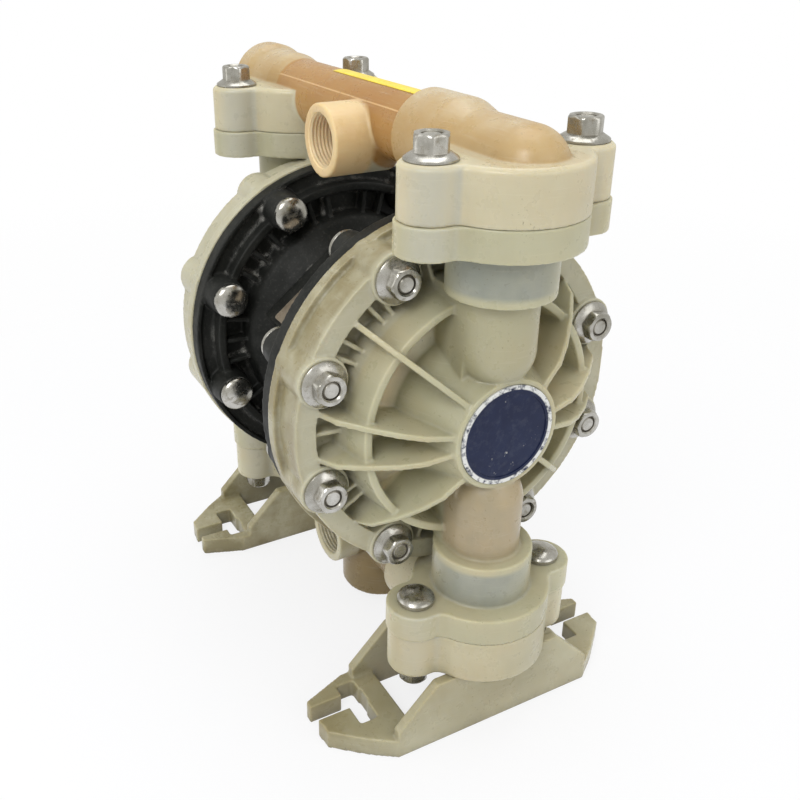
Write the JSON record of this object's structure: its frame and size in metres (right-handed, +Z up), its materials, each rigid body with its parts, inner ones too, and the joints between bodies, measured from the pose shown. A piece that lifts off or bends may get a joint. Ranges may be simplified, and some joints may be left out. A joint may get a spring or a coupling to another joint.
{
  "type": "air operated diaphragm pump",
  "caption": "Plastic double diaphragm pump on two slotted feet: domed ribbed covers, a black air section, and cross tubes with a threaded port at top and bottom.",
  "frame": {"origin": "on the floor plane, midway between the two feet and under the shaft", "axes": "+X along the diaphragm shaft towards the cover with the badge, -Y towards the side the ports face, +Z up"},
  "size_m": [0.265, 0.1692, 0.2844],
  "materials": {
    "polypropylene": "satin, translucent",
    "black_plastic": "moulded matt",
    "zinc_steel": "zinc plated, dulled",
    "stainless": "ground",
    "plate_metal": "weathered",
    "badge_enamel": "satin with a worn light ring",
    "rubber": "matt",
    "ball_rubber": "smooth",
    "acetal": "machined",
    "spool_metal": "hard anodised"
  },
  "bodies": {
    "pump": {"liquid_cover_right": "polypropylene", "liquid_cover_left": "polypropylene", "badge": "badge_enamel", "air_cover_right": "black_plastic", "air_cover_left": "black_plastic", "centre_housing": "black_plastic", "rating_plate": "plate_metal", "plate_rivets": "plate_metal", "outlet_manifold": "polypropylene", "inlet_manifold": "polypropylene", "foot_right": "polypropylene", "foot_left": "polypropylene", "outlet_joint_seals": "rubber", "inlet_joint_seals": "rubber", "shaft_bushing_right": "acetal", "shaft_bushing_left": "acetal", "diaphragm_right": "rubber", "diaphragm_left": "rubber", "spool_sleeve": "acetal", "spool_cap_right": "acetal", "spool_cap_left": "acetal", "outlet_valve_seat_right": "polypropylene", "outlet_valve_seat_left": "polypropylene", "outlet_manifold_bolts": "zinc_steel", "outlet_manifold_nuts": "zinc_steel", "inlet_valve_seat_right": "polypropylene", "inlet_valve_seat_left": "polypropylene", "inlet_manifold_bolts": "zinc_steel", "inlet_manifold_nuts": "zinc_steel", "cover_bolts_right": "zinc_steel", "cover_nuts_right": "zinc_steel", "cover_bolts_left": "zinc_steel", "cover_nuts_left": "zinc_steel"},
    "shaft": {"diaphragm_shaft": "stainless", "air_side_plate_right": "stainless", "air_side_plate_left": "stainless", "liquid_side_plate_right": "polypropylene", "liquid_side_plate_left": "polypropylene"},
    "spool": {"air_valve_spool": "spool_metal"},
    "outlet_ball_right": {"outlet_valve_ball_right": "ball_rubber"},
    "outlet_ball_left": {"outlet_valve_ball_left": "ball_rubber"},
    "inlet_ball_right": {"inlet_valve_ball_right": "ball_rubber"},
    "inlet_ball_left": {"inlet_valve_ball_left": "ball_rubber"}
  },
  "joints": [
    {"name": "shaft_stroke", "type": "slide", "parent": "pump", "child": "shaft", "axis": [1, 0, 0], "range_m": [-0.007, 0.007], "deforming": ["diaphragm_right", "diaphragm_left"]},
    {"name": "spool_shift", "type": "slide", "parent": "pump", "child": "spool", "axis": [1, 0, 0], "range_m": [-0.0035, 0.0035]},
    {"name": "outlet_ball_lift_right", "type": "slide", "parent": "pump", "child": "outlet_ball_right", "axis": [0, 0, 1], "range_m": [0, 0.005]},
    {"name": "outlet_ball_lift_left", "type": "slide", "parent": "pump", "child": "outlet_ball_left", "axis": [0, 0, 1], "range_m": [0, 0.005]},
    {"name": "inlet_ball_lift_right", "type": "slide", "parent": "pump", "child": "inlet_ball_right", "axis": [0, 0, 1], "range_m": [0, 0.005]},
    {"name": "inlet_ball_lift_left", "type": "slide", "parent": "pump", "child": "inlet_ball_left", "axis": [0, 0, 1], "range_m": [0, 0.005]}
  ]
}
